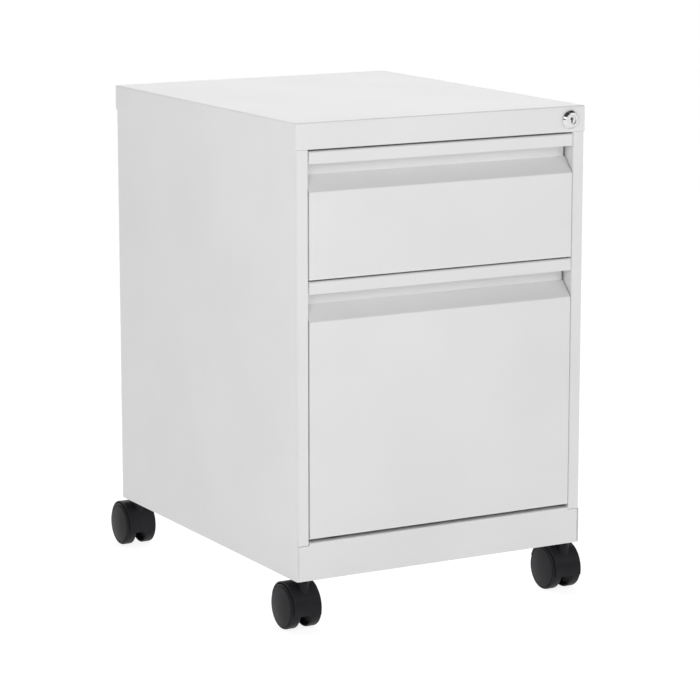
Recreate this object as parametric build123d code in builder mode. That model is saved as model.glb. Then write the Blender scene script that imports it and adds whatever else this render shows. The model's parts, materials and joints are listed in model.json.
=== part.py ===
"""Mobile pedestal: a box drawer over a file drawer in a folded steel case on four casters.

Millimetres. +X is the viewer's right when facing the drawers, +Y is the back, +Z is up.
The origin is on the floor, under the middle of the whole outline, casters included.
"""

import os
from math import cos, radians, sin

from build123d import *

os.makedirs("parts", exist_ok=True)

# ---------------------------------------------------------------- driving dimensions

# Case
WIDTH = 381.0  # over the top cap
DEPTH = 470.0  # over the top cap
BODY_HEIGHT = 521.0  # from the bottom edge of the case to the top
CASTER_HEIGHT = 60.5  # from the floor to the bottom edge of the case
SHEET = 1.0  # case steel
CAP_HEIGHT = 30.2
SIDE_INSET = 1.0  # the side panels stand this far inside the cap
BACK_INSET = 1.5
STILE_EDGE = 174.5  # half the width of the drawer opening
STILE_RETURN = 25.0  # depth of the folded edge behind each stile
CORNER_BEND = 2.5  # outside radius at the front corners of the case
RAIL_HEIGHT = 43.8  # between the stiles
RAIL_END_HEIGHT = 40.8  # below the stiles
RAIL_RETURN = 15.0  # depth of the folded edge behind each end of the rail
RAIL_BEND = 0.9  # outside radius along the rail's top edge
ACCESS_HOLE_X = -137.5  # a round hole in the rail's top flange, near its left end
ACCESS_HOLE_RADIUS = 12.0
FIT = 0.15  # slack between sheets that lie inside one another
SEAM = 0.5  # open joint between a stile and the base rail
CAP_CLEARANCE = 1.3  # between the sides' upper edges and the underside of the cap

# Drawer fronts
FRONT_SHEET = 1.2
FRONT_GAP = 1.25  # at each side of a drawer front
FRONT_DEPTH = 17.5
PULL_RELIEF = 1.8  # the back wall of a finger pull stops this far short of the front's ends
LIP = 14.0  # height of the lip above the finger pull
CREASE_DROP = 28.0  # from the top of a front to the crease at the back of its pull
SLANT_DROP = 46.0  # from the top of a front to the foot of the slanted face
UPPER_FRONT = (344.3, 488.6)  # heights above the bottom edge of the case
LOWER_FRONT = (47.8, 342.6)

# Inside the case
DIVIDER = (336.0, 348.0)  # heights of the rail between the drawers, above the bottom edge
DIVIDER_START = 20.0  # from the front plane
DIVIDER_DEPTH = 30.0
POST_WIDTH = 30.0
POST_STARTS = (50.0, 380.0)  # from the front plane
WEIGHT_START = 384.0
WEIGHT_DEPTH = 40.0
WEIGHT_HALF = 150.0
WEIGHT_HEIGHT = 28.0
RIVET_ROWS = 4
RIVET_START = 60.0  # height of the lowest rivet above the bottom edge of the case
RIVET_PITCH = 125.0

# Drawer boxes
BOX_HALF = 161.5  # half the outside width
BOX_SHEET = 1.0
BOX_BACK = 448.0  # outside of the drawer back, from the front plane
UPPER_BOX = (354.0, 456.0)
LOWER_BOX = (56.0, 300.0)

# Bars for hanging folders, and the screws of the drawer fronts
FOLDER_BAR = (153.5, 156.5)  # from the middle of the drawer
FOLDER_BAR_HEIGHTS = (278.0, 296.0)
SCREW_X = 120.0
SCREW_HEAD_RADIUS = 3.6
SCREW_HEAD_HEIGHT = 2.0

# Slides
SLIDE_START = 32.0  # from the front plane
SLIDE_LENGTH = 400.0
UPPER_SLIDE = (376.0, 35.0)  # height of the centre line, and of the slide
LOWER_SLIDE = (120.0, 45.0)

# Lock
LOCK_X = 169.8
LOCK_Z = 505.0
LOCK_PROUD = 4.5
BEZEL_RADIUS = 11.0
FACE_RADIUS = 8.2
BARREL_RADIUS = 9.0
PLUG_RADIUS = 5.2
KEYHOLE_RADIUS = 2.0
KEYHOLE_RISE = 1.2  # from the plug's axis up to the middle of the keyhole's round part
KEYHOLE_FOOT = 3.8  # from the plug's axis down to the foot of the slot
KEYHOLE_SLOT = 0.9  # half the slot's width
RUN = 0.05  # radial running clearance of shafts in their holes
CAM_ARM = 9.0
CAM_REST_ANGLE = -45.0
CAM_PIN_RADIUS = 2.0
CAM_FACE = 22.0  # from the front plane to the cam
BAR_FACE = 28.0  # from the front plane to the lock bar
BAR_SHEET = 1.5
UPPER_CATCH = 430.0
LOWER_CATCH = 270.0
CATCH_HALF = 5.0
BAR_EDGES = (177.0, 186.0)  # of the bar's upright
BAR_BOTTOM = 250.0
BAR_HEAD = (492.0, 503.0)  # heights of the wide part with the cam's slot
HOOK_INNER = 165.0
HOOK_HEIGHT = 12.0
GUIDES = (300.0, 455.0)  # heights of the feet of the bar's two guides
GUIDE_HEIGHT = 12.0

# Caster fixings, on the pan
GUSSET_INNER = 158.0  # from the middle of the case
GUSSET_SHEET = 2.5
GUSSET_LENGTH = 35.0
NUT_FLANGE_RADIUS = 9.0
NUT_RADIUS = 7.4  # over the corners
NUT_HEIGHT = 7.0

# Casters
WHEEL_RADIUS = 26.2
TRAIL = 16.5  # from the stem to the wheel axle
STEM_INSET = 14.5  # from the side of the cap
FRONT_STEM = 11.5  # from the front plane
REAR_STEM = 449.5
WHEEL_INNER = 7.5  # from the middle of the caster to a wheel's inner face
WHEEL_OUTER = 21.8
TREAD_EDGE = 17.6  # where the tread ends and the wheel's shoulder begins
SHOULDER = 19.6
DISC_RADIUS = 23.2  # of the plain disc inside the wheel's shoulder
GROOVE = 0.8  # width and depth of the groove round the disc
AXLE_RADIUS = 3.0
AXLE_HALF = 18.0
HOOD_RADIUS = 29.1
HOOD_WALL = 1.8
HOOD_HALF = 17.1
HOOD_BACK_ANGLE = 18.0  # from the level through the axle, at the back
HOOD_FRONT_ANGLE = 193.0
WEB_HALF = 6.4  # half the thickness of the web between the wheels
BOSS_DROP = 30.0  # from the bottom edge of the case to the foot of the stem's boss
STEM_RADIUS = 3.4
THREAD_RADIUS = 4.0
COLLAR_RADIUS = 5.0
BOSS_RADIUS = 6.3

# ---------------------------------------------------------------- derived places

OVERALL_DEPTH = LOCK_PROUD + REAR_STEM + TRAIL + WHEEL_RADIUS
FRONT = LOCK_PROUD - OVERALL_DEPTH / 2
BACK = FRONT + DEPTH
PANEL_BACK = BACK - BACK_INSET
BASE = CASTER_HEIGHT
TOP = BASE + BODY_HEIGHT
CAP_BOTTOM = TOP - CAP_HEIGHT
RAIL_TOP = BASE + RAIL_HEIGHT
STILE_BOTTOM = BASE + RAIL_END_HEIGHT + SEAM
SKIN = WIDTH / 2 - SIDE_INSET  # outside face of a side panel
RAIL_HALF = SKIN - SHEET - FIT  # the rail's ends lie inside the side panels
PAN_HALF = RAIL_HALF - SHEET - FIT
STEM_X = WIDTH / 2 - STEM_INSET
CORNERS = [
    ("front_left", -1, FRONT + FRONT_STEM),
    ("front_right", 1, FRONT + FRONT_STEM),
    ("rear_left", -1, FRONT + REAR_STEM),
    ("rear_right", 1, FRONT + REAR_STEM),
]


# ---------------------------------------------------------------- helpers


def finish(piece, name):
    """Label a finished piece and write it to its own file."""
    piece.label = name
    export_step(piece, f"parts/{name}.step")


def block(low, high, mode=Mode.ADD):
    """A box between two corners, in the part that is open."""
    size = [b - a for a, b in zip(low, high)]
    centre = tuple((a + b) / 2 for a, b in zip(low, high))
    with Locations(centre):
        Box(*size, mode=mode)


def rod(base, direction, radius, length, mode=Mode.ADD):
    """A round bar that starts at base and runs along direction, in the part that is open."""
    with Locations(Plane(base, z_dir=direction)):
        Cylinder(radius, length, align=(Align.CENTER, Align.CENTER, Align.MIN), mode=mode)


def folded_section(plane, points, radii, thickness):
    """The cut edge of a folded sheet that lies to the left of a path along one of its faces."""
    with BuildSketch(plane) as section:
        with BuildLine():
            FilletPolyline(*points, radius=radii)
            offset(amount=thickness, side=Side.LEFT)
        make_face()
    return section.sketch


# ---------------------------------------------------------------- case


def make_top_cap():
    """A shallow inverted pan, with a lip along the bottom of its front and the lock's hole."""
    half = WIDTH / 2
    with BuildPart() as cap:
        block((-half, FRONT, CAP_BOTTOM), (half, BACK, TOP))
        fillet(cap.edges().filter_by(Axis.Z), radius=1.6)
        fillet(cap.edges().group_by(Axis.Z)[-1], radius=2.0)
        offset(amount=-SHEET, openings=cap.faces().sort_by(Axis.Z)[0])
        lip = SKIN - SHEET - 0.1
        block((-lip, FRONT + SHEET / 2, CAP_BOTTOM), (lip, FRONT + 13.0, CAP_BOTTOM + SHEET))
        rod((LOCK_X, FRONT - 1, BASE + LOCK_Z), (0, 1, 0), BARREL_RADIUS + 0.1, 4.0, Mode.SUBTRACT)
    finish(cap.part, "top_cap")


def make_side_panel(name, mirrored):
    """One folded sheet: the stile with its return, the side skin and the rear edge."""
    height = BODY_HEIGHT - SHEET - CAP_CLEARANCE
    path = [
        (STILE_EDGE, FRONT + STILE_RETURN),
        (STILE_EDGE, FRONT),
        (SKIN, FRONT),
        (SKIN, PANEL_BACK),
        (STILE_EDGE, PANEL_BACK),
    ]
    section = folded_section(Plane.XY.offset(BASE), path, [1.5, CORNER_BEND, 2.0], SHEET)
    lower = (BASE - 1, STILE_BOTTOM)
    upper = (CAP_BOTTOM - 0.2, TOP + 1)
    with BuildPart() as panel:
        extrude(section, amount=height)
        for low, high in (lower, upper):
            block(
                (STILE_EDGE - 1, FRONT - 1, low),
                (SKIN - SHEET, FRONT + STILE_RETURN + 1, high),
                Mode.SUBTRACT,
            )
            block((STILE_EDGE - 1, FRONT - 1, low), (SKIN + 1, FRONT + 3, high), Mode.SUBTRACT)
        block((SKIN - SHEET, FRONT + 0.3, BASE), (SKIN, FRONT + 4, STILE_BOTTOM))
        flange = (SKIN - 7, FRONT + RAIL_RETURN + 1, BASE)
        block(flange, (SKIN - SHEET / 2, PANEL_BACK - SHEET / 2, BASE + SHEET))
        if mirrored:
            mirror(about=Plane.YZ, mode=Mode.REPLACE)
    finish(panel.part, name)


def make_back_panel():
    """A flat sheet inside the rear edges of the sides, folded forward at top and bottom."""
    half = SKIN - SHEET - 1.3
    outer = PANEL_BACK - SHEET
    low = BASE + 2.2
    high = TOP - 1.2
    with BuildPart() as back_panel:
        block((-half, outer - SHEET, low), (half, outer, high))
        block((-half, outer - 12, high - SHEET), (half, outer - SHEET / 2, high))
    finish(back_panel.part, "back_panel")


def make_bottom_pan():
    """A pan that stands on the sides' bottom edges and carries the casters."""
    half = PAN_HALF
    front = FRONT + SHEET
    back = PANEL_BACK - 2 * SHEET - 0.1
    floor = BASE + SHEET
    with BuildPart() as pan:
        block((-half, front, floor), (half, back, floor + 18))
        fillet(pan.edges().filter_by(Axis.Z), radius=2.4)
        block(
            (-half + SHEET, front + SHEET, floor + SHEET),
            (half - SHEET, back - SHEET, floor + 19),
            Mode.SUBTRACT,
        )
        for _, side, y in CORNERS:
            rod((side * STEM_X, y, BASE), (0, 0, 1), THREAD_RADIUS + 0.2, 4.0, Mode.SUBTRACT)
    finish(pan.part, "bottom_pan")


def make_base_rail():
    """The rail below the drawers: ends folded back inside the sides, and a deep top flange."""
    wrap = FRONT + RAIL_RETURN
    path = [(-RAIL_HALF, wrap), (-RAIL_HALF, FRONT), (RAIL_HALF, FRONT), (RAIL_HALF, wrap)]
    section = folded_section(Plane.XY.offset(BASE), path, [CORNER_BEND, CORNER_BEND], SHEET)
    half = STILE_EDGE - SEAM
    hole = (ACCESS_HOLE_X, FRONT + 21.5, RAIL_TOP - 2)
    with BuildPart() as rail:
        extrude(section, amount=RAIL_HEIGHT)
        for side in (-1, 1):
            edges = sorted((side * half, side * WIDTH))
            low = (edges[0], FRONT - 1, BASE + RAIL_END_HEIGHT)
            block(low, (edges[1], wrap + 1, RAIL_TOP + 1), Mode.SUBTRACT)
        block((-half, FRONT + SHEET / 2, RAIL_TOP - SHEET), (half, FRONT + 36, RAIL_TOP))
        bend = rail.edges().filter_by(Axis.X).group_by(Axis.Z)[-1].sort_by(Axis.Y)[0]
        fillet(bend, radius=RAIL_BEND)
        rod(hole, (0, 0, 1), ACCESS_HOLE_RADIUS, 4.0, Mode.SUBTRACT)
    finish(rail.part, "base_rail")


def make_divider_rail():
    """A channel across the case behind the joint between the two drawer fronts."""
    low = BASE + DIVIDER[0]
    high = BASE + DIVIDER[1]
    start = FRONT + DIVIDER_START
    end = start + DIVIDER_DEPTH
    with BuildPart() as divider:
        block((-STILE_EDGE, start, low), (STILE_EDGE, end, high))
        block(
            (-STILE_EDGE - 1, start + SHEET, low + SHEET),
            (STILE_EDGE + 1, end + 1, high - SHEET),
            Mode.SUBTRACT,
        )
    finish(divider.part, "divider_rail")


def make_slide_posts(name, side):
    """Two upright channels on the inside of one side panel, which carry the slides."""
    inner = side * STILE_EDGE
    outer = side * (SKIN - SHEET)
    web = side * (STILE_EDGE + SHEET)
    low = BASE + 20
    high = CAP_BOTTOM - 2
    with BuildPart() as posts:
        for place in POST_STARTS:
            start = FRONT + place
            end = start + POST_WIDTH
            block((min(inner, outer), start, low), (max(inner, outer), end, high))
            block(
                (min(web, outer + side), start + SHEET, low - 1),
                (max(web, outer + side), end - SHEET, high + 1),
                Mode.SUBTRACT,
            )
    finish(posts.part, name)


def make_counterweight():
    """A steel slab on the pan at the rear, which keeps the case down with a drawer open."""
    with BuildPart() as weight:
        start = FRONT + WEIGHT_START
        floor = BASE + 2 * SHEET
        end = (WEIGHT_HALF, start + WEIGHT_DEPTH, floor + WEIGHT_HEIGHT)
        block((-WEIGHT_HALF, start, floor), end)
        chamfer(weight.edges().filter_by(Axis.Z), length=4)
    finish(weight.part, "counterweight")


def make_case_rivets():
    """Dome rivets that hold the back panel to the rear edges of the sides."""
    radius = 3.2
    with BuildPart() as rivets:
        for side in (-1, 1):
            for row in range(RIVET_ROWS):
                z = BASE + RIVET_START + row * RIVET_PITCH
                centre = (side * (SKIN - 8), PANEL_BACK, z)
                with Locations(Plane(centre, z_dir=(0, 1, 0))):
                    with Locations((0, 0, -2.4)):
                        Sphere(4.0)
                block(
                    (centre[0] - 5, PANEL_BACK - 8, z - 5),
                    (centre[0] + 5, PANEL_BACK, z + 5),
                    Mode.SUBTRACT,
                )
    finish(rivets.part, "case_rivets")


# ---------------------------------------------------------------- caster fixings


def make_caster_gussets():
    """Four plates on the pan, which spread each stem's load into a corner."""
    floor = BASE + 2 * SHEET
    with BuildPart() as gussets:
        for _, side, y in CORNERS:
            edges = sorted((side * GUSSET_INNER, side * (PAN_HALF - SHEET - 0.1)))
            front = y - 9 if y < 0 else y - 24
            back = front + GUSSET_LENGTH
            block((edges[0], front, floor), (edges[1], back, floor + GUSSET_SHEET))
            rod((side * STEM_X, y, BASE + 1), (0, 0, 1), THREAD_RADIUS + 0.2, 5, Mode.SUBTRACT)
    finish(gussets.part, "caster_gussets")


def make_caster_nuts():
    """Four flanged hexagon nuts on the stems."""
    seat = BASE + 2 * SHEET + GUSSET_SHEET
    with BuildPart() as nuts:
        for _, side, y in CORNERS:
            with BuildSketch(Plane.XY.offset(seat)):
                with Locations((side * STEM_X, y)):
                    Circle(NUT_FLANGE_RADIUS)
            extrude(amount=1.5)
            with BuildSketch(Plane.XY.offset(seat)):
                with Locations((side * STEM_X, y)):
                    RegularPolygon(NUT_RADIUS, 6)
            extrude(amount=NUT_HEIGHT)
            rod((side * STEM_X, y, BASE + 4), (0, 0, 1), THREAD_RADIUS + RUN, 9, Mode.SUBTRACT)
    finish(nuts.part, "caster_nuts")


def make_caster_stems():
    """Four stems: a plain pivot in the hood, a collar under the pan and a threaded end."""
    with BuildPart() as stems:
        for _, side, y in CORNERS:
            rod((side * STEM_X, y, BASE - 27), (0, 0, 1), STEM_RADIUS, 27)
            rod((side * STEM_X, y, BASE - 1.2), (0, 0, 1), COLLAR_RADIUS, 2.2)
            rod((side * STEM_X, y, BASE + 1), (0, 0, 1), THREAD_RADIUS, 13)
    finish(stems.part, "caster_stems")


# ---------------------------------------------------------------- slides


def lipped_channel(web, mouth, half_height, lip, thickness, centre):
    """The outline of a slide member, from lip to lip round its outside."""
    path = [
        (mouth, centre - half_height + lip),
        (mouth, centre - half_height),
        (web, centre - half_height),
        (web, centre + half_height),
        (mouth, centre + half_height),
        (mouth, centre + half_height - lip),
    ]
    plane = Plane((0, FRONT + SLIDE_START, 0), x_dir=(1, 0, 0), z_dir=(0, -1, 0))
    return folded_section(plane, path, [thickness + 0.5] * 4, thickness)


def channel(web, mouth, half_height, thickness, centre):
    """The outline of a slide member with plain edges."""
    path = [
        (mouth, centre - half_height),
        (web, centre - half_height),
        (web, centre + half_height),
        (mouth, centre + half_height),
    ]
    if mouth > web:
        path.reverse()
    plane = Plane((0, FRONT + SLIDE_START, 0), x_dir=(1, 0, 0), z_dir=(0, -1, 0))
    return folded_section(plane, path, [thickness + 0.5] * 2, thickness)


def make_slides(prefix, centre, height):
    """Outer, middle and inner members of a pair of slides, left and right alike."""
    level = BASE + centre
    members = {
        "outer": lipped_channel(STILE_EDGE, BOX_HALF + 1.5, height / 2, 3.0, 1.2, level),
        "middle": channel(STILE_EDGE - 2.2, BOX_HALF + 2.7, height / 2 - 3.8, 1.0, level),
        "inner": channel(BOX_HALF, STILE_EDGE - 4.2, height / 2 - 7.0, 1.0, level),
    }
    for kind, section in members.items():
        with BuildPart() as member:
            extrude(section, amount=-SLIDE_LENGTH)
            mirror(about=Plane.YZ)
        finish(member.part, f"{prefix}_slide_{kind}_members")


# ---------------------------------------------------------------- drawers


def make_drawer_front(name, low, high):
    """A folded front: lip, finger pull across the whole width, slanted face and flat face."""
    half = STILE_EDGE - FRONT_GAP
    path = [
        (FRONT_DEPTH, low + FRONT_SHEET),
        (FRONT_SHEET, low + FRONT_SHEET),
        (FRONT_SHEET, high - SLANT_DROP),
        (FRONT_DEPTH, high - CREASE_DROP),
        (FRONT_DEPTH, high),
        (0, high),
        (0, high - LIP),
    ]
    radii = [0.8, 0.8, 1.8, 2.0, 2.0]
    plane = Plane((-half, FRONT, BASE), x_dir=(0, 1, 0), z_dir=(1, 0, 0))
    section = folded_section(plane, path, radii, FRONT_SHEET)
    with BuildPart() as front:
        extrude(section, amount=2 * half)
        for side in (-1, 1):
            edges = sorted((side * half, side * (half - FRONT_SHEET)))
            block(
                (edges[0], FRONT + 0.6, BASE + low + 1),
                (edges[1], FRONT + FRONT_DEPTH, BASE + high - SLANT_DROP - 1),
            )
            relief = sorted((side * (half - PULL_RELIEF), side * (half + 1)))
            block(
                (relief[0], FRONT + FRONT_DEPTH - 2 * FRONT_SHEET, BASE + high - CREASE_DROP),
                (relief[1], FRONT + FRONT_DEPTH + 1, BASE + high - LIP + 5),
                Mode.SUBTRACT,
            )
    finish(front.part, name)


def make_inner_front(name, low, high):
    """The flat sheet that closes the back of a drawer front."""
    half = BOX_HALF + 6.0
    with BuildPart() as inner_front:
        block(
            (-half, FRONT + FRONT_DEPTH, BASE + low + 4),
            (half, FRONT + FRONT_DEPTH + BOX_SHEET, BASE + high - 4),
        )
        fillet(inner_front.edges().filter_by(Axis.Y), radius=4)
    finish(inner_front.part, name)


def make_tray(name, low, high, hem):
    """Bottom and sides of a drawer box, folded from one sheet, with hemmed top edges."""
    path = [
        (-BOX_HALF + hem, high),
        (-BOX_HALF, high),
        (-BOX_HALF, low),
        (BOX_HALF, low),
        (BOX_HALF, high),
        (BOX_HALF - hem, high),
    ]
    start = FRONT + FRONT_DEPTH + BOX_SHEET
    end = FRONT + BOX_BACK - BOX_SHEET
    plane = Plane((0, start, BASE), x_dir=(1, 0, 0), z_dir=(0, -1, 0))
    section = folded_section(plane, path, [1.6, 2.0, 2.0, 1.6], BOX_SHEET)
    with BuildPart() as tray:
        extrude(section, amount=start - end)
    finish(tray.part, name)


def make_drawer_back(name, low, high):
    """The back of a drawer box, folded forward along its top."""
    end = FRONT + BOX_BACK
    with BuildPart() as drawer_back:
        block((-BOX_HALF, end - BOX_SHEET, BASE + low), (BOX_HALF, end, BASE + high))
        block(
            (-BOX_HALF + 8, end - 8, BASE + high - BOX_SHEET),
            (BOX_HALF - 8, end - BOX_SHEET / 2, BASE + high),
        )
    finish(drawer_back.part, name)


def make_hanging_rails():
    """Two bars along the file drawer, spaced for letter-size hanging folders."""
    start = FRONT + FRONT_DEPTH + BOX_SHEET
    end = FRONT + BOX_BACK - BOX_SHEET
    with BuildPart() as rails:
        for side in (-1, 1):
            edges = sorted(side * edge for edge in FOLDER_BAR)
            low, high = FOLDER_BAR_HEIGHTS
            block((edges[0], start, BASE + low), (edges[1], end, BASE + high))
    finish(rails.part, "hanging_file_rails")


def make_lock_catch(name, height):
    """A tab on the right of a drawer box, which stops against the lock bar's hook."""
    level = BASE + height
    with BuildPart() as catch:
        block((BOX_HALF, FRONT + 31.5, level - 9), (BOX_HALF + 1.5, FRONT + 56, level + 9))
        block(
            (BOX_HALF + 0.5, FRONT + 31.5, level - CATCH_HALF),
            (STILE_EDGE - 2.5, FRONT + 33.5, level + CATCH_HALF),
        )
    finish(catch.part, name)


def make_front_screws(name, low, high):
    """Four pan-head screws that hold a drawer front to its inner front."""
    face = FRONT + FRONT_DEPTH + BOX_SHEET
    with BuildPart() as screws:
        for x in (-SCREW_X, SCREW_X):
            for z in (BASE + low + 30, BASE + high - 16):
                rod((x, face, z), (0, 1, 0), SCREW_HEAD_RADIUS, SCREW_HEAD_HEIGHT)
        fillet(screws.edges().group_by(Axis.Y)[-1], radius=1.2)
    finish(screws.part, name)


# ---------------------------------------------------------------- lock


def make_lock_housing():
    """A round barrel through the cap, with a bevelled bezel outside it."""
    start = FRONT - LOCK_PROUD
    with BuildPart() as housing:
        rod((LOCK_X, start, BASE + LOCK_Z), (0, 1, 0), BEZEL_RADIUS, LOCK_PROUD)
        rim = housing.edges().group_by(Axis.Y)[0]
        chamfer(rim, length=BEZEL_RADIUS - FACE_RADIUS, length2=LOCK_PROUD - 1.2)
        fillet(housing.edges().group_by(Axis.Y)[0], radius=0.8)
        rod((LOCK_X, FRONT, BASE + LOCK_Z), (0, 1, 0), BARREL_RADIUS, 20.0)
        rod((LOCK_X, start - 1, BASE + LOCK_Z), (0, 1, 0), PLUG_RADIUS + RUN, 30.0, Mode.SUBTRACT)
    finish(housing.part, "lock_housing")


def make_lock_nut():
    """The hexagon nut that clamps the housing inside the cap."""
    plane = Plane((LOCK_X, FRONT + SHEET, BASE + LOCK_Z), x_dir=(1, 0, 0), z_dir=(0, 1, 0))
    with BuildPart() as nut:
        with BuildSketch(plane):
            RegularPolygon(12.4, 6)
            Circle(BARREL_RADIUS + RUN, mode=Mode.SUBTRACT)
        extrude(amount=4.0)
    finish(nut.part, "lock_nut")


def make_lock_plug():
    """The turning core, with a keyhole in its face and a square end for the cam."""
    start = FRONT - LOCK_PROUD + 0.9
    with BuildPart() as plug:
        rod((LOCK_X, start, BASE + LOCK_Z), (0, 1, 0), PLUG_RADIUS, FRONT + CAM_FACE - start)
        round_part = (LOCK_X, start - 1, BASE + LOCK_Z + KEYHOLE_RISE)
        rod(round_part, (0, 1, 0), KEYHOLE_RADIUS, 8.0, Mode.SUBTRACT)
        block(
            (LOCK_X - KEYHOLE_SLOT, start - 1, BASE + LOCK_Z - KEYHOLE_FOOT),
            (LOCK_X + KEYHOLE_SLOT, start + 7, BASE + LOCK_Z + KEYHOLE_RISE),
            Mode.SUBTRACT,
        )
        block(
            (LOCK_X - 2.5, FRONT + CAM_FACE - 1, BASE + LOCK_Z - 2.5),
            (LOCK_X + 2.5, FRONT + CAM_FACE + 2, BASE + LOCK_Z + 2.5),
        )
    finish(plug.part, "lock_plug")


def make_lock_cam():
    """An arm on the plug's square end, with a pin that lifts the lock bar."""
    angle = radians(CAM_REST_ANGLE)
    pin = (CAM_ARM * cos(angle), CAM_ARM * sin(angle))
    plane = Plane((LOCK_X, FRONT + CAM_FACE, BASE + LOCK_Z), x_dir=(1, 0, 0), z_dir=(0, -1, 0))
    with BuildPart() as cam:
        with BuildSketch(plane):
            Circle(6.5)
            with Locations(pin):
                Circle(3.5)
            make_hull()
            Rectangle(5.1, 5.1, mode=Mode.SUBTRACT)
        extrude(amount=-2.0)
        rod(
            (LOCK_X + pin[0], FRONT + CAM_FACE + 1.5, BASE + LOCK_Z + pin[1]),
            (0, 1, 0),
            CAM_PIN_RADIUS,
            7.5,
        )
    finish(cam.part, "lock_cam")


def make_cam_screw():
    """The round-head screw that holds the cam on the plug."""
    with BuildPart() as screw:
        rod((LOCK_X, FRONT + CAM_FACE + 2, BASE + LOCK_Z), (0, 1, 0), 4.2, 2.6)
        fillet(screw.edges().group_by(Axis.Y)[-1], radius=1.4)
    finish(screw.part, "lock_cam_screw")


def make_lock_bar():
    """A flat stamping behind the right stile: slot for the cam's pin, and a hook per drawer."""
    rise = CAM_ARM * sin(radians(-CAM_REST_ANGLE))
    slot_level = BASE + LOCK_Z - rise
    front = FRONT + BAR_FACE
    back = front + BAR_SHEET
    plane = Plane((0, front - 1, 0), x_dir=(1, 0, 0), z_dir=(0, -1, 0))
    with BuildPart() as bar:
        inner, outer = BAR_EDGES
        head_low, head_high = BAR_HEAD
        block((inner, front, BASE + BAR_BOTTOM), (outer, back, BASE + head_high))
        block((LOCK_X + 1.5, front, BASE + head_low), (outer + 1.3, back, BASE + head_high))
        for catch in (UPPER_CATCH, LOWER_CATCH):
            high = BASE + catch - CATCH_HALF - 2
            block((HOOK_INNER, front, high - HOOK_HEIGHT), (inner + 1, back, high))
        with BuildSketch(plane):
            with Locations((LOCK_X + 7.7, slot_level)):
                SlotOverall(8.0, 2 * CAM_PIN_RADIUS + 1.0)
        extrude(amount=-4, mode=Mode.SUBTRACT)
    finish(bar.part, "lock_bar")


def make_bar_guides():
    """Two clips on the right side panel, in which the lock bar slides."""
    with BuildPart() as guides:
        for height in GUIDES:
            low = BASE + height
            high = low + GUIDE_HEIGHT
            near = FRONT + BAR_FACE
            inner, outer = BAR_EDGES
            block((inner + 1, near - 1.7, low), (SKIN - SHEET, near + 3.2, high))
            channel_low = (inner, near - 0.3, low - 1)
            channel_high = (outer + 0.3, near + 1.8, high + 1)
            block(channel_low, channel_high, Mode.SUBTRACT)
    finish(guides.part, "lock_bar_guides")


# ---------------------------------------------------------------- casters


def make_hood(name, x, y):
    """A drum-shaped hood over both wheels, with a web between them and the stem's boss."""
    axle_y = y + TRAIL
    span = HOOD_FRONT_ANGLE - HOOD_BACK_ANGLE
    inner = HOOD_RADIUS - HOOD_WALL
    with BuildPart() as hood:
        with BuildSketch(Plane((x - HOOD_HALF, axle_y, WHEEL_RADIUS), x_dir=(0, 1, 0), z_dir=(1, 0, 0))):
            with BuildLine():
                outside = CenterArc((0, 0), HOOD_RADIUS, HOOD_BACK_ANGLE, span)
                inside = CenterArc((0, 0), inner, HOOD_BACK_ANGLE, span)
                Line(outside @ 0, inside @ 0)
                Line(outside @ 1, inside @ 1)
            make_face()
        extrude(amount=2 * HOOD_HALF)
        with BuildSketch(Plane((x - WEB_HALF, axle_y, WHEEL_RADIUS), x_dir=(0, 1, 0), z_dir=(1, 0, 0))):
            with BuildLine():
                rim = CenterArc((0, 0), HOOD_RADIUS - 0.6, 75, 110)
                Line(rim @ 0, (5, 0))
                Line((5, 0), (0, -6))
                Line((0, -6), rim @ 1)
            make_face()
            Circle(8.0)
        extrude(amount=2 * WEB_HALF)
        rod((x, y, BASE - BOSS_DROP), (0, 0, 1), BOSS_RADIUS, BOSS_DROP - 1.2)
        rod((x, y, BASE - 27.5), (0, 0, 1), STEM_RADIUS + RUN, 30, Mode.SUBTRACT)
        rod((x - 10, axle_y, WHEEL_RADIUS), (1, 0, 0), AXLE_RADIUS + 0.02, 20, Mode.SUBTRACT)
    finish(hood.part, name)


def make_axle(name, x, y):
    """The steel pin through the hood's web, which carries both wheels."""
    with BuildPart() as axle:
        rod((x - AXLE_HALF, y + TRAIL, WHEEL_RADIUS), (1, 0, 0), AXLE_RADIUS, 2 * AXLE_HALF)
    finish(axle.part, name)


def make_wheel(name, x, y, side):
    """One wheel: tread, round shoulder, and a slightly domed disc inside a fine groove."""
    bore = AXLE_RADIUS + RUN
    plane = Plane((x, y + TRAIL, WHEEL_RADIUS), x_dir=(side, 0, 0), z_dir=(0, 1, 0))
    profile = [
        (AXLE_HALF + 0.2, 0),
        (AXLE_HALF + 0.2, bore),
        (WHEEL_INNER, bore),
        (WHEEL_INNER, WHEEL_RADIUS - 1.2),
        (WHEEL_INNER + 1.2, WHEEL_RADIUS),
        (TREAD_EDGE, WHEEL_RADIUS),
    ]
    turn = (TREAD_EDGE + 1.35, WHEEL_RADIUS - 0.6)
    lip = DISC_RADIUS + GROOVE
    ring = [(SHOULDER, lip), (SHOULDER - GROOVE, lip), (SHOULDER - GROOVE, DISC_RADIUS)]
    disc_edge = (SHOULDER + 0.2, DISC_RADIUS)
    bulge = (WHEEL_OUTER - 0.5, DISC_RADIUS / 2)
    hub = (WHEEL_OUTER, AXLE_RADIUS)
    with BuildPart() as wheel:
        with BuildSketch(plane):
            with BuildLine():
                Polyline(*profile)
                ThreePointArc(profile[-1], turn, ring[0])
                Polyline(*ring, disc_edge)
                ThreePointArc(disc_edge, bulge, hub)
                Polyline(hub, (WHEEL_OUTER, 0), profile[0])
            make_face()
        revolve(axis=Axis((x, y + TRAIL, WHEEL_RADIUS), (1, 0, 0)))
    finish(wheel.part, name)


# ---------------------------------------------------------------- assembly

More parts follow.
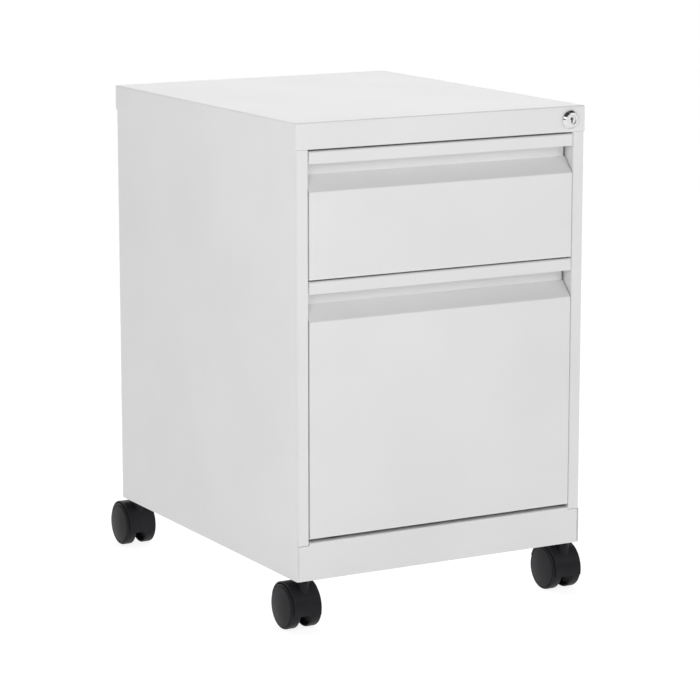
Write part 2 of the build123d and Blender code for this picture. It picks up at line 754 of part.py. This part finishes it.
make_top_cap()
make_side_panel("right_side_panel", mirrored=False)
make_side_panel("left_side_panel", mirrored=True)
make_back_panel()
make_bottom_pan()
make_base_rail()
make_divider_rail()
make_slide_posts("left_slide_posts", -1)
make_slide_posts("right_slide_posts", 1)
make_counterweight()
make_case_rivets()
make_caster_gussets()
make_caster_nuts()
make_caster_stems()

make_slides("upper", *UPPER_SLIDE)
make_slides("lower", *LOWER_SLIDE)

make_drawer_front("upper_drawer_front", *UPPER_FRONT)
make_inner_front("upper_inner_front", *UPPER_FRONT)
make_tray("upper_drawer_tray", *UPPER_BOX, hem=5.0)
make_drawer_back("upper_drawer_back", *UPPER_BOX)
make_lock_catch("upper_lock_catch", UPPER_CATCH)
make_front_screws("upper_front_screws", *UPPER_FRONT)

make_drawer_front("lower_drawer_front", *LOWER_FRONT)
make_inner_front("lower_inner_front", *LOWER_FRONT)
make_tray("lower_drawer_tray", *LOWER_BOX, hem=3.0)
make_drawer_back("lower_drawer_back", *LOWER_BOX)
make_hanging_rails()
make_lock_catch("lower_lock_catch", LOWER_CATCH)
make_front_screws("lower_front_screws", *LOWER_FRONT)

make_lock_housing()
make_lock_nut()
make_lock_plug()
make_lock_cam()
make_cam_screw()
make_lock_bar()
make_bar_guides()

for corner, side, stem_y in CORNERS:
    stem_x = side * STEM_X
    make_hood(f"{corner}_caster_hood", stem_x, stem_y)
    make_axle(f"{corner}_caster_axle", stem_x, stem_y)
    make_wheel(f"{corner}_caster_wheel_left", stem_x, stem_y, -1)
    make_wheel(f"{corner}_caster_wheel_right", stem_x, stem_y, 1)
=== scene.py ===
"""Looks of the mobile pedestal: camera, light, materials and the pieces that need fine shapes."""

import json
import math

import bmesh
import bpy
from mathutils import Matrix, Vector


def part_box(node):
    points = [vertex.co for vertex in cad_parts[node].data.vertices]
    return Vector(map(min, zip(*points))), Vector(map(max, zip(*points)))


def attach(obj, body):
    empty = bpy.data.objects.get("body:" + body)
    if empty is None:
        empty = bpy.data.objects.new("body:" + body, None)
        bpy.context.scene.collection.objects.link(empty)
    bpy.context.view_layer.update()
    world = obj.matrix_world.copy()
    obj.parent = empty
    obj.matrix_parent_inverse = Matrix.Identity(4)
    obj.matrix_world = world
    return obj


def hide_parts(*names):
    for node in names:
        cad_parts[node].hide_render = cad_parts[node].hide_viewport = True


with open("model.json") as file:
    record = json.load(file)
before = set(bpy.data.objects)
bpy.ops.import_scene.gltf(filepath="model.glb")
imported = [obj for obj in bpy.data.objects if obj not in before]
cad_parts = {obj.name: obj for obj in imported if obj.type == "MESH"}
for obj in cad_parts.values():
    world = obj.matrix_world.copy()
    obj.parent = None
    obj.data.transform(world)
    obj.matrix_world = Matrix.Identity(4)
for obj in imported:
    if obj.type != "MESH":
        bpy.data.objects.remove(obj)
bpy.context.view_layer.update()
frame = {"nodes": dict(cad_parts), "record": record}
scene = bpy.context.scene

# ---------------------------------------------------------------- camera

front_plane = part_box("top_cap")[0].y
case_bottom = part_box("base_rail")[0].z
cap_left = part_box("top_cap")[0].x

CAMERA_OFFSET = Vector((-1.53495, -2.87317, 0.89776))
CAMERA_YAW = math.radians(29.1704)
CAMERA_PITCH = math.radians(10.9448)
FOCAL_PIXELS = 2981.79
PICTURE_SIDE = 700
SENSOR = 36.0
FARTHEST_SEEN = 200.0


def make_camera():
    data = bpy.data.cameras.new("camera")
    data.sensor_width = SENSOR
    data.lens = FOCAL_PIXELS / PICTURE_SIDE * SENSOR
    data.clip_end = FARTHEST_SEEN
    camera = bpy.data.objects.new("camera", data)
    scene.collection.objects.link(camera)
    forward = Vector(
        (
            math.sin(CAMERA_YAW) * math.cos(CAMERA_PITCH),
            math.cos(CAMERA_YAW) * math.cos(CAMERA_PITCH),
            -math.sin(CAMERA_PITCH),
        )
    )
    right = Vector((math.cos(CAMERA_YAW), -math.sin(CAMERA_YAW), 0))
    up = right.cross(forward)
    axes = Matrix((right, up, -forward)).transposed().to_4x4()
    place = Vector((cap_left, front_plane, case_bottom)) + CAMERA_OFFSET
    camera.matrix_world = Matrix.Translation(place) @ axes
    scene.camera = camera


make_camera()

# ---------------------------------------------------------------- light

scene.view_settings.view_transform = "Standard"
scene.view_settings.look = "None"

WHITE = (1, 1, 1, 1)
WORLD_LEVEL = 0.02
WORLD_LOBES = [  # extra level towards a direction, fading to nothing at right angles to it
    ((1, 0, 0), 1.0),
    ((0, 1, 0), 1.35),
    ((0, 0, 1), 0.04),
]
DARK_STRIP = (-0.532, 0.781, 0.326)  # across an unlit strip of the ceiling
DARK_STRIP_MIDDLE = -0.03
DARK_STRIP_EDGE = (0.10, 0.14)  # how far from its middle it begins to fade, and where it is gone
DARK_STRIP_LEVEL = 0.03
SOFTBOX_SIZE = 0.9
SOFTBOXES = [  # name, place, point aimed at, energy
    ("left_softbox", (-1.0, -1.3, 1.0), (0, -0.2, 0.3), 7.9),
    ("right_softbox", (1.2, -1.6, 1.1), (0, -0.2, 0.3), 4.3),
    ("top_softbox", (0.2, 0.35, 1.9), (0.05, 0.05, 0.58), 4.6),
]


def make_world():
    """A white tent, brighter towards some sides, with one unlit strip overhead."""
    world = bpy.data.worlds.new("studio")
    scene.world = world
    world.use_nodes = True
    nodes = world.node_tree.nodes
    links = world.node_tree.links
    direction = nodes.new("ShaderNodeTexCoord").outputs["Generated"]

    def math_node(operation, first, second):
        made = nodes.new("ShaderNodeMath")
        made.operation = operation
        for socket, value in zip(made.inputs, (first, second)):
            if isinstance(value, bpy.types.NodeSocket):
                links.new(value, socket)
            else:
                socket.default_value = value
        return made.outputs["Value"]

    def along(axis):
        made = nodes.new("ShaderNodeVectorMath")
        made.operation = "DOT_PRODUCT"
        links.new(direction, made.inputs[0])
        made.inputs[1].default_value = axis
        return made.outputs["Value"]

    level = WORLD_LEVEL
    for axis, extra in WORLD_LOBES:
        lobe = math_node("MAXIMUM", along(axis), 0.0)
        level = math_node("ADD", math_node("MULTIPLY", lobe, extra), level)
    lit = nodes.new("ShaderNodeMapRange")
    lit.interpolation_type = "SMOOTHSTEP"
    from_middle = math_node("SUBTRACT", along(DARK_STRIP), DARK_STRIP_MIDDLE)
    links.new(math_node("ABSOLUTE", from_middle, 0.0), lit.inputs["Value"])
    lit.inputs["From Min"].default_value = DARK_STRIP_EDGE[0]
    lit.inputs["From Max"].default_value = DARK_STRIP_EDGE[1]
    lit.inputs["To Min"].default_value = DARK_STRIP_LEVEL
    lit.inputs["To Max"].default_value = 1.0
    background = nodes["Background"]
    background.inputs["Color"].default_value = WHITE
    strength = math_node("MULTIPLY", level, lit.outputs["Result"])
    links.new(strength, background.inputs["Strength"])
    # past the floor's edge the tent shows as plain white, however it is lit
    plain = nodes.new("ShaderNodeBackground")
    plain.inputs["Color"].default_value = WHITE
    shown = nodes.new("ShaderNodeMixShader")
    links.new(nodes.new("ShaderNodeLightPath").outputs["Is Camera Ray"], shown.inputs["Fac"])
    links.new(background.outputs["Background"], shown.inputs[1])
    links.new(plain.outputs["Background"], shown.inputs[2])
    links.new(shown.outputs["Shader"], nodes["World Output"].inputs["Surface"])


def make_softbox(name, place, aim, energy):
    data = bpy.data.lights.new(name, "AREA")
    data.shape = "DISK"
    data.size = SOFTBOX_SIZE
    data.energy = energy
    box = bpy.data.objects.new(name, data)
    scene.collection.objects.link(box)
    box.location = place
    box.rotation_mode = "QUATERNION"
    box.rotation_quaternion = (Vector(aim) - Vector(place)).to_track_quat("-Z", "Y")


make_world()
for softbox in SOFTBOXES:
    make_softbox(*softbox)

# ---------------------------------------------------------------- materials


class Shader:
    """A node material under construction: short calls that add and join nodes."""

    def __init__(self, name, **settings):
        self.material = bpy.data.materials.new(name)
        self.material.use_nodes = True
        self.nodes = self.material.node_tree.nodes
        self.links = self.material.node_tree.links
        self.surface = self.nodes["Principled BSDF"]
        for socket, value in settings.items():
            self.surface.inputs[socket.replace("_", " ")].default_value = value

    def node(self, kind, inputs=None, **properties):
        made = self.nodes.new(kind)
        for key, value in properties.items():
            setattr(made, key, value)
        for key, value in (inputs or {}).items():
            if isinstance(value, bpy.types.NodeSocket):
                self.links.new(value, made.inputs[key])
            else:
                made.inputs[key].default_value = value
        return made

    def place(self):
        return self.node("ShaderNodeTexCoord").outputs["Object"]

    def noise(self, where, scale, detail=2.0, roughness=0.5):
        made = self.node(
            "ShaderNodeTexNoise",
            {"Vector": where, "Scale": scale, "Detail": detail, "Roughness": roughness},
        )
        return made.outputs["Fac"]

    def stretch(self, where, factors):
        made = self.node("ShaderNodeMapping", {"Vector": where, "Scale": factors})
        return made.outputs["Vector"]

    def remap(self, value, low, high, start=0.0, end=1.0):
        made = self.node(
            "ShaderNodeMapRange",
            {"Value": value, "From Min": start, "From Max": end, "To Min": low, "To Max": high},
        )
        return made.outputs["Result"]

    def blend(self, factor, dark, light):
        made = self.node("ShaderNodeMix", data_type="RGBA")
        self.links.new(factor, made.inputs["Factor"])
        made.inputs["A"].default_value = (*dark, 1)
        made.inputs["B"].default_value = (*light, 1)
        return made.outputs["Result"]

    def bump(self, height, strength, distance, under=None):
        inputs = {"Height": height, "Strength": strength, "Distance": distance}
        if under is not None:
            inputs["Normal"] = under
        return self.node("ShaderNodeBump", inputs).outputs["Normal"]

    def put(self, socket, value):
        self.links.new(value, self.surface.inputs[socket])


def powder_coat(name, dark, light):
    """Satin powder coat: orange peel at about a millimetre, with a slow drift in tone and gloss."""
    s = Shader(name)
    where = s.place()
    peel = s.noise(where, 900.0, 2.0, 0.55)
    waves = s.noise(where, 180.0, 1.0)
    cloud = s.noise(where, 6.0, 3.0)
    s.put("Base Color", s.blend(s.remap(cloud, 0, 1, 0.35, 0.65), dark, light))
    s.put("Roughness", s.remap(peel, 0.36, 0.48))
    fine = s.bump(peel, 0.10, 0.0003)
    s.put("Normal", s.bump(waves, 0.06, 0.0006, fine))
    return s.material


def brushed_zinc(name, dark, light):
    """Bright zinc plate on rolled steel, with fine lines along the sheet and a faint mottle."""
    s = Shader(name, Metallic=1.0)
    where = s.place()
    lines = s.noise(s.stretch(where, (2200.0, 40.0, 2200.0)), 1.0, 2.0)
    mottle = s.noise(where, 60.0, 4.0)
    s.put("Base Color", s.blend(mottle, dark, light))
    s.put("Roughness", s.remap(mottle, 0.24, 0.42))
    s.put("Normal", s.bump(lines, 0.08, 0.0002))
    return s.material


def chrome_plate(name, dark, light):
    """Polished plate with very faint turning marks and a little haze."""
    s = Shader(name, Metallic=1.0)
    where = s.place()
    haze = s.noise(where, 400.0, 3.0)
    marks = s.noise(s.stretch(where, (300.0, 5000.0, 300.0)), 1.0, 1.0)
    s.put("Base Color", s.blend(haze, dark, light))
    s.put("Roughness", s.remap(haze, 0.10, 0.20))
    s.put("Normal", s.bump(marks, 0.03, 0.0001))
    return s.material


def moulded_nylon(name, dark, light):
    """Black moulded nylon with a fine eroded grain and slightly uneven gloss."""
    s = Shader(name, Specular_IOR_Level=0.1)
    where = s.place()
    grain = s.noise(where, 1500.0, 2.0, 0.6)
    patch = s.noise(where, 70.0, 3.0)
    s.put("Base Color", s.blend(patch, dark, light))
    s.put("Roughness", s.remap(patch, 0.34, 0.50))
    s.put("Normal", s.bump(grain, 0.12, 0.0003))
    return s.material


def dip_paint(name, dark, light):
    """Thick black paint on a rough cast slab; the same near-black also fills the keyhole as painted
    shade.
    """
    s = Shader(name)
    where = s.place()
    pits = s.noise(where, 300.0, 4.0, 0.6)
    s.put("Base Color", s.blend(pits, dark, light))
    s.put("Roughness", s.remap(pits, 0.35, 0.6))
    s.put("Normal", s.bump(pits, 0.3, 0.0008))
    return s.material


MATERIALS = {
    "white_paint": powder_coat("white_paint", (0.780, 0.780, 0.778), (0.812, 0.812, 0.810)),
    "zinc_steel": brushed_zinc("zinc_steel", (0.52, 0.53, 0.54), (0.70, 0.71, 0.71)),
    "chrome": chrome_plate("chrome", (0.66, 0.66, 0.67), (0.82, 0.82, 0.82)),
    "dark_paint": dip_paint("dark_paint", (0.012, 0.012, 0.013), (0.026, 0.026, 0.028)),
    "black_nylon": moulded_nylon("black_nylon", (0.013, 0.013, 0.015), (0.021, 0.021, 0.024)),
}


def slot_of_each_node():
    rows = frame["record"]["subparts"]
    return {row["node"]: row["material_slot"] for row in rows}


def dress_cad_nodes():
    for node, slot in slot_of_each_node().items():
        mesh = frame["nodes"][node].data
        mesh.materials.clear()
        mesh.materials.append(MATERIALS[slot])


dress_cad_nodes()

# ---------------------------------------------------------------- floor

FLOOR_HALF = 60.0
FLOOR_GLOW = 0.86


def make_floor():
    mesh = bpy.data.meshes.new("floor")
    bm = bmesh.new()
    bmesh.ops.create_grid(bm, x_segments=8, y_segments=8, size=FLOOR_HALF)
    bm.to_mesh(mesh)
    bm.free()
    floor = bpy.data.objects.new("floor", mesh)
    scene.collection.objects.link(floor)
    s = Shader("studio_floor")
    where = s.place()
    soft = s.noise(where, 3.0, 2.0)
    s.put("Base Color", s.blend(soft, (0.29, 0.29, 0.29), (0.31, 0.31, 0.31)))
    s.put("Roughness", s.remap(soft, 0.85, 0.95))
    s.surface.inputs["Specular IOR Level"].default_value = 0.0
    s.surface.inputs["Emission Color"].default_value = WHITE
    s.surface.inputs["Emission Strength"].default_value = FLOOR_GLOW
    mesh.materials.append(s.material)


make_floor()

# ---------------------------------------------------------------- fine pieces

MM = 0.001
SHARP = math.radians(32)  # edges with a sharper fold than this aren't shaded smooth


def centre_of(node):
    low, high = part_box(node)
    return (Vector(low) + Vector(high)) / 2


def add_piece(name, bm, body, slot, replaced=None):
    """Close a mesh under construction and hang it on a body, in one of the record's slots."""
    bmesh.ops.recalc_face_normals(bm, faces=bm.faces)
    for face in bm.faces:
        face.smooth = True
    for edge in bm.edges:
        if len(edge.link_faces) == 2 and edge.calc_face_angle() > SHARP:
            edge.smooth = False
    mesh = bpy.data.meshes.new(name)
    bm.to_mesh(mesh)
    bm.free()
    piece = bpy.data.objects.new(name, mesh)
    scene.collection.objects.link(piece)
    mesh.materials.append(MATERIALS[slot])
    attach(piece, body)
    if replaced:
        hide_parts(replaced)
    return piece


def lathe(bm, profile, base, axis, steps=96, ring=False):
    """Turn a profile of (distance along the axis, radius) rows, in millimetres, round an axis."""
    axis = Vector(axis).normalized()
    side = axis.orthogonal().normalized()
    other = axis.cross(side)
    loops = []
    for along, radius in profile:
        middle = base + axis * along * MM
        if radius == 0:
            loops.append([bm.verts.new(middle)])
            continue
        loop = []
        for step in range(steps):
            angle = 2 * math.pi * step / steps
            out = side * math.cos(angle) + other * math.sin(angle)
            loop.append(bm.verts.new(middle + out * radius * MM))
        loops.append(loop)
    if ring:
        loops.append(loops[0])
    for first, second in zip(loops, loops[1:]):
        for step in range(steps):
            after = (step + 1) % steps
            if len(first) == 1:
                bm.faces.new((first[0], second[step], second[after]))
            elif len(second) == 1:
                bm.faces.new((first[step], second[0], first[after]))
            else:
                bm.faces.new((first[step], second[step], second[after], first[after]))


def slab(bm, outline, depth):
    """A prism: an outline of points and a vector to its far side."""
    near = [bm.verts.new(point) for point in outline]
    far = [bm.verts.new(point + depth) for point in outline]
    bm.faces.new(near)
    bm.faces.new(list(reversed(far)))
    for step in range(len(near)):
        after = (step + 1) % len(near)
        bm.faces.new((near[step], near[after], far[after], far[step]))


WHEEL_PROFILE = [  # distance in from the outer face, and radius
    (0.0, 0), (0.0, 2.6), (0.08, 5.5), (0.3, 9.0), (0.62, 12.5), (1.02, 16.0), (1.5, 19.5),
    (1.85, 22.0), (1.98, 22.8), (2.15, 23.1), (2.4, 23.2), (3.0, 23.2), (3.0, 24.0),
    (2.4, 24.0), (2.22, 24.15), (2.25, 24.6), (2.5, 25.15), (2.95, 25.65), (3.5, 26.0),
    (4.2, 26.2), (13.2, 26.2), (13.8, 26.0), (14.2, 25.6), (14.3, 25.1), (14.3, 24.9),
    (14.1, 24.7), (7.6, 23.9), (7.1, 23.6), (6.8, 22.8), (6.8, 10.2), (7.1, 9.4),
    (7.7, 9.0), (14.1, 8.7), (14.3, 8.5), (14.3, 3.06), (3.65, 3.06), (3.65, 0),
]


def make_wheel(corner, hand):
    """One wheel: a domed disc inside a groove, and a hollow on the side of the hood's web."""
    node = f"{corner}_caster_wheel_{hand}"
    low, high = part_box(node)
    inward = Vector((1, 0, 0)) if hand == "left" else Vector((-1, 0, 0))
    base = centre_of(node)
    base.x = low[0] if hand == "left" else high[0]
    bm = bmesh.new()
    lathe(bm, WHEEL_PROFILE, base, inward, 128)
    add_piece(f"wheel_{corner}_{hand}", bm, f"{corner}_wheel_{hand}", "black_nylon", node)


BEZEL_PROFILE = [  # distance behind the face, and radius
    (0.25, 5.3), (0.05, 5.45), (0.0, 5.7), (0.0, 8.0), (0.04, 8.15), (0.12, 8.25), (0.2, 8.32),
    (2.95, 10.65), (3.1, 10.78), (3.25, 10.9), (3.5, 11.0), (4.5, 11.0), (4.5, 9.0),
    (24.4, 9.0), (24.4, 5.3),
]


def make_lock_bezel():
    low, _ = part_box("lock_housing")
    base = centre_of("lock_housing")
    base.y = low[1]
    bm = bmesh.new()
    lathe(bm, BEZEL_PROFILE, base, (0, 1, 0), 160, ring=True)
    add_piece("lock_bezel", bm, "case", "chrome", "lock_housing")


KEYWAY_RADIUS = 1.92  # the round upper part of the keyhole
KEYWAY_RISE = 1.2  # its centre above the plug's
KEYWAY_ARC = (-62, 242)  # degrees, from the slot's right side round to its left side
KEYWAY_ARC_STEPS = 24
KEYWAY_FOOT = -3.7
KEYWAY_SLOT_HALF = 0.84
PAINTED_SHADE_TUMBLER_DEPTH = 0.35
TUMBLER_THICKNESS = 0.9
WAFER_DEPTH = 0.15
WAFER_OUTLINE = [(0.55, 0.9), (1.35, 0.75), (1.45, 1.3), (1.2, 1.75), (0.6, 1.5)]


def make_keyway():
    """A near-black stack of tumblers a little way down the keyhole, painted shade for the keyhole's
    depth, and the zinc edge of one of them.
    """
    low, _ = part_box("lock_plug")
    housing = centre_of("lock_housing")
    face = Vector((housing.x, low[1], housing.z))
    first, last = KEYWAY_ARC
    outline = []
    for step in range(KEYWAY_ARC_STEPS + 1):
        angle = math.radians(first + (last - first) * step / KEYWAY_ARC_STEPS)
        outline.append(
            (KEYWAY_RADIUS * math.cos(angle), KEYWAY_RISE + KEYWAY_RADIUS * math.sin(angle))
        )
    outline += [(-KEYWAY_SLOT_HALF, KEYWAY_FOOT), (KEYWAY_SLOT_HALF, KEYWAY_FOOT)]
    thickness = Vector((0, TUMBLER_THICKNESS * MM, 0))
    # the near-black tumbler slab is painted shade: it darkens the keyhole where real tumblers would
    # be bare metal in shadow
    start = face + Vector((0, PAINTED_SHADE_TUMBLER_DEPTH * MM, 0))
    bm = bmesh.new()
    slab(bm, [start + Vector((x, 0, z)) * MM for x, z in outline], thickness)
    add_piece("keyway_tumblers_painted_shade", bm, "lock_core", "dark_paint")
    start = face + Vector((0, WAFER_DEPTH * MM, 0))
    bm = bmesh.new()
    slab(bm, [start + Vector((x, 0, z)) * MM for x, z in WAFER_OUTLINE], thickness / 2)
    add_piece("keyway_wafer", bm, "lock_core", "zinc_steel")


SCREW_RADIUS = 3.6
# a screw's head: height and radius, as parts of the head's own
SCREW_RIM = [(1.0, 0.60), (0.97, 0.74), (0.8, 0.88), (0.5, 0.97), (0, 1), (0, 0)]
RECESS_FLOOR = 0.45
RECESS_RINGS = 6
RECESS_RING_STEP = 0.09
RECESS_ARM_HALF = 0.13
SAME_LEVEL = 1e-3


def screw_head(bm, face, axis, radius, height):
    """A pan head with a cross recess, standing on a face."""
    axis = Vector(axis)
    floor = height * RECESS_FLOOR
    rings = range(RECESS_RINGS + 1)
    profile = [(floor, radius * RECESS_RING_STEP * ring) for ring in rings]
    profile += [(height * up, radius * out) for up, out in SCREW_RIM]
    start = len(bm.verts)
    lathe(bm, profile, face, axis, 64)
    bm.verts.ensure_lookup_table()
    side = axis.orthogonal().normalized()
    other = axis.cross(side)
    for vert in bm.verts[start:]:
        offset = vert.co - face
        across = abs(offset.dot(side)) / (radius * MM)
        along = abs(offset.dot(other)) / (radius * MM)
        level = offset.dot(axis) / MM
        if abs(level - floor) < SAME_LEVEL and min(across, along) > RECESS_ARM_HALF:
            vert.co += axis * (height - floor) * MM


def make_front_screws(drawer):
    """The four screws inside a drawer's front."""
    node = f"{drawer}_front_screws"
    low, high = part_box(node)
    height = (high[1] - low[1]) / MM
    inset = SCREW_RADIUS * MM
    bm = bmesh.new()
    for x in (low[0] + inset, high[0] - inset):
        for z in (low[2] + inset, high[2] - inset):
            screw_head(bm, Vector((x, low[1], z)), (0, 1, 0), SCREW_RADIUS, height)
    add_piece(f"{drawer}_screw_heads", bm, f"{drawer}_drawer", "zinc_steel", node)


RIVET_RADIUS = 3.2
RIVET_ROWS = 4
RIVET_PROFILE = [  # height as a part of the head's own, and radius
    (0.45, 0), (0.45, 0.55), (0.8, 0.8), (1.0, 1.0), (0.9, 1.6), (0.62, 2.3), (0.3, 2.85),
    (0, RIVET_RADIUS), (0, 0),
]


def make_rivets():
    """Blind rivets up both rear edges, each with the dimple of its mandrel."""
    low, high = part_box("case_rivets")
    height = (high[1] - low[1]) / MM
    profile = [(height * up, radius) for up, radius in RIVET_PROFILE]
    inset = RIVET_RADIUS * MM
    bm = bmesh.new()
    for x in (low[0] + inset, high[0] - inset):
        for row in range(RIVET_ROWS):
            z = low[2] + inset + (high[2] - low[2] - 2 * inset) * row / (RIVET_ROWS - 1)
            lathe(bm, profile, Vector((x, low[1], z)), (0, 1, 0), 48)
    add_piece("back_rivets", bm, "case", "zinc_steel", "case_rivets")


BALL_RADIUS = 1.15
BALL_RINGS = 8
BALLS = 14
BALL_PITCH = 9.0
FIRST_BALL = 20  # behind the front end of the middle member
BALL_INSET = 1.6  # in from midway between the members' outer sides
BALL_LEVEL_SHIFT = 0.5  # towards the inner member


def make_balls(drawer):
    """Rows of balls that run between the middle and the inner members of both slides."""
    middle_low, middle_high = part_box(f"{drawer}_slide_middle_members")
    inner_low, inner_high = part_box(f"{drawer}_slide_inner_members")
    half = (middle_high[0] + inner_high[0]) / 2 - BALL_INSET * MM
    gap = (middle_high[2] - inner_high[2]) / 2
    shift = BALL_LEVEL_SHIFT * MM
    levels = (inner_low[2] - gap + shift, inner_high[2] + gap - shift)
    profile = []
    for ring in range(BALL_RINGS + 1):
        angle = math.pi * ring / BALL_RINGS
        radius = 0 if ring in (0, BALL_RINGS) else BALL_RADIUS * math.sin(angle)
        profile.append((BALL_RADIUS * (1 - math.cos(angle)), radius))
    bm = bmesh.new()
    for x in (-half, half):
        for z in levels:
            for row in range(BALLS):
                y = middle_low[1] + (FIRST_BALL + BALL_PITCH * row) * MM
                lathe(bm, profile, Vector((x, y, z)), (0, 1, 0), 16)
    add_piece(f"{drawer}_slide_balls", bm, f"{drawer}_slide_middle", "chrome")


for corner in ("front_left", "front_right", "rear_left", "rear_right"):
    for hand in ("left", "right"):
        make_wheel(corner, hand)
make_lock_bezel()
make_keyway()
for drawer in ("upper", "lower"):
    make_front_screws(drawer)
    make_balls(drawer)
make_rivets()
